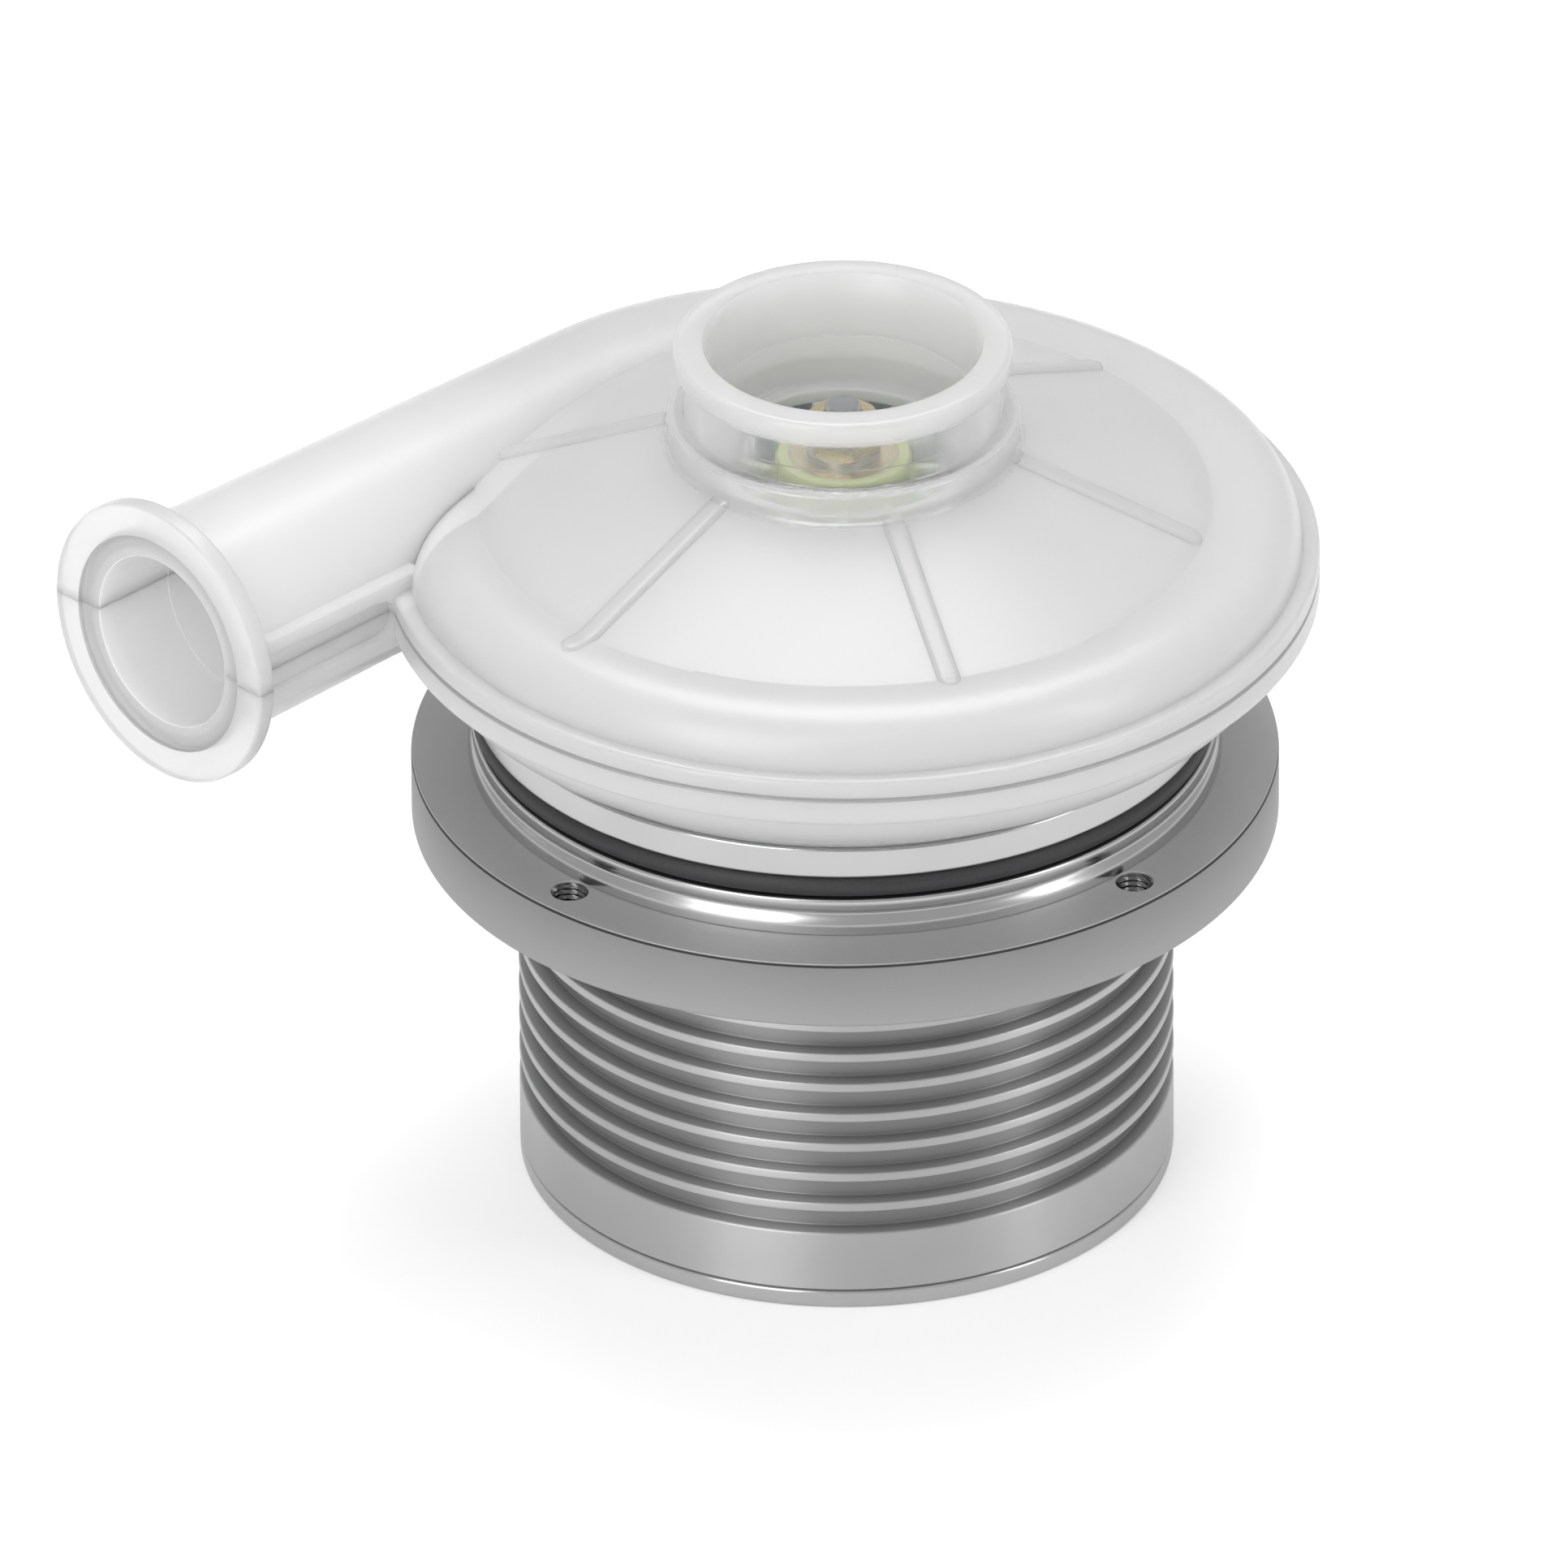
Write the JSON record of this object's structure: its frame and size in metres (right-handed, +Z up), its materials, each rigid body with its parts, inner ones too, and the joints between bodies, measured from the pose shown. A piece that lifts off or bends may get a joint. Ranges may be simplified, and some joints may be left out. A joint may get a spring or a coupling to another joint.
{
  "type": "air blower",
  "caption": "Radial air blower: translucent volute with top inlet collar and side outlet tube on a flanged, finned motor barrel.",
  "frame": {"origin": "on the shaft axis at the underside of the base cap, where the blower stands", "axes": "+Z up along the shaft axis towards the inlet collar, -X along the outlet tube, which is offset towards +Y"},
  "size_m": [0.0868, 0.0793, 0.0746],
  "materials": {
    "clear_shell": "translucent moulded plastic, lightly frosted",
    "tinted_plastic": "milky moulded plastic with a cool tint",
    "polished_aluminium": "turned and polished",
    "satin_aluminium": "blasted and clear anodised, satin",
    "turned_aluminium": "turned",
    "seal_rubber": "moulded nitrile rubber",
    "screw_steel": "zinc-plated steel",
    "bearing_steel": "ground and polished steel",
    "shaft_steel": "ground stainless steel",
    "lamination_steel": "stacked electrical sheet",
    "magnet": "nickel-plated sintered magnet",
    "sleeve_wrap": "wound carbon fibre",
    "copper_wire": "enamelled copper wire",
    "brass_turned": "turned brass",
    "insulator_plastic": "moulded plastic",
    "cage_plastic": "moulded nylon",
    "circuit_board": "glass-fibre board with green solder mask",
    "sensor_plastic": "moulded epoxy"
  },
  "bodies": {
    "housing": {"volute_top": "clear_shell", "volute_bottom": "clear_shell", "volute_screws": "screw_steel", "neck_plate": "polished_aluminium", "neck_oring": "seal_rubber", "mounting_flange": "satin_aluminium", "barrel_screws": "screw_steel", "finned_housing": "turned_aluminium", "base_cap": "turned_aluminium", "base_cap_screws": "screw_steel", "cable_grommet": "seal_rubber", "stator_core": "lamination_steel", "stator_insulators": "insulator_plastic", "stator_coils": "copper_wire", "sensor_board": "circuit_board", "hall_sensors": "sensor_plastic", "preload_spring": "shaft_steel", "front_bearing_outer": "bearing_steel", "front_bearing_shields": "bearing_steel", "rear_bearing_outer": "bearing_steel", "rear_bearing_shields": "bearing_steel"},
    "rotor": {"shaft": "shaft_steel", "rotor_core": "shaft_steel", "rotor_magnet": "magnet", "rotor_sleeve": "sleeve_wrap", "balance_rings": "brass_turned", "shaft_spacer": "shaft_steel", "front_bearing_inner": "bearing_steel", "rear_bearing_inner": "bearing_steel", "impeller": "tinted_plastic", "impeller_bush": "brass_turned", "impeller_washer": "screw_steel", "impeller_nut": "brass_turned"},
    "front_cage": {"front_bearing_cage": "cage_plastic", "front_bearing_balls": "bearing_steel"},
    "rear_cage": {"rear_bearing_cage": "cage_plastic", "rear_bearing_balls": "bearing_steel"}
  },
  "joints": [
    {"name": "rotor_spin", "type": "hinge", "parent": "housing", "child": "rotor", "pos_m": [0, 0, 0.0359], "axis": [0, 0, 1], "continuous": true},
    {"name": "front_cage_spin", "type": "hinge", "parent": "housing", "child": "front_cage", "pos_m": [0, 0, 0.0359], "axis": [0, 0, 1], "continuous": true},
    {"name": "rear_cage_spin", "type": "hinge", "parent": "housing", "child": "rear_cage", "pos_m": [0, 0, 0.0051], "axis": [0, 0, 1], "continuous": true}
  ],
  "couplings": [
    {"joint": "front_cage_spin", "follows": "rotor_spin", "ratio": 0.3714},
    {"joint": "rear_cage_spin", "follows": "rotor_spin", "ratio": 0.3714}
  ]
}
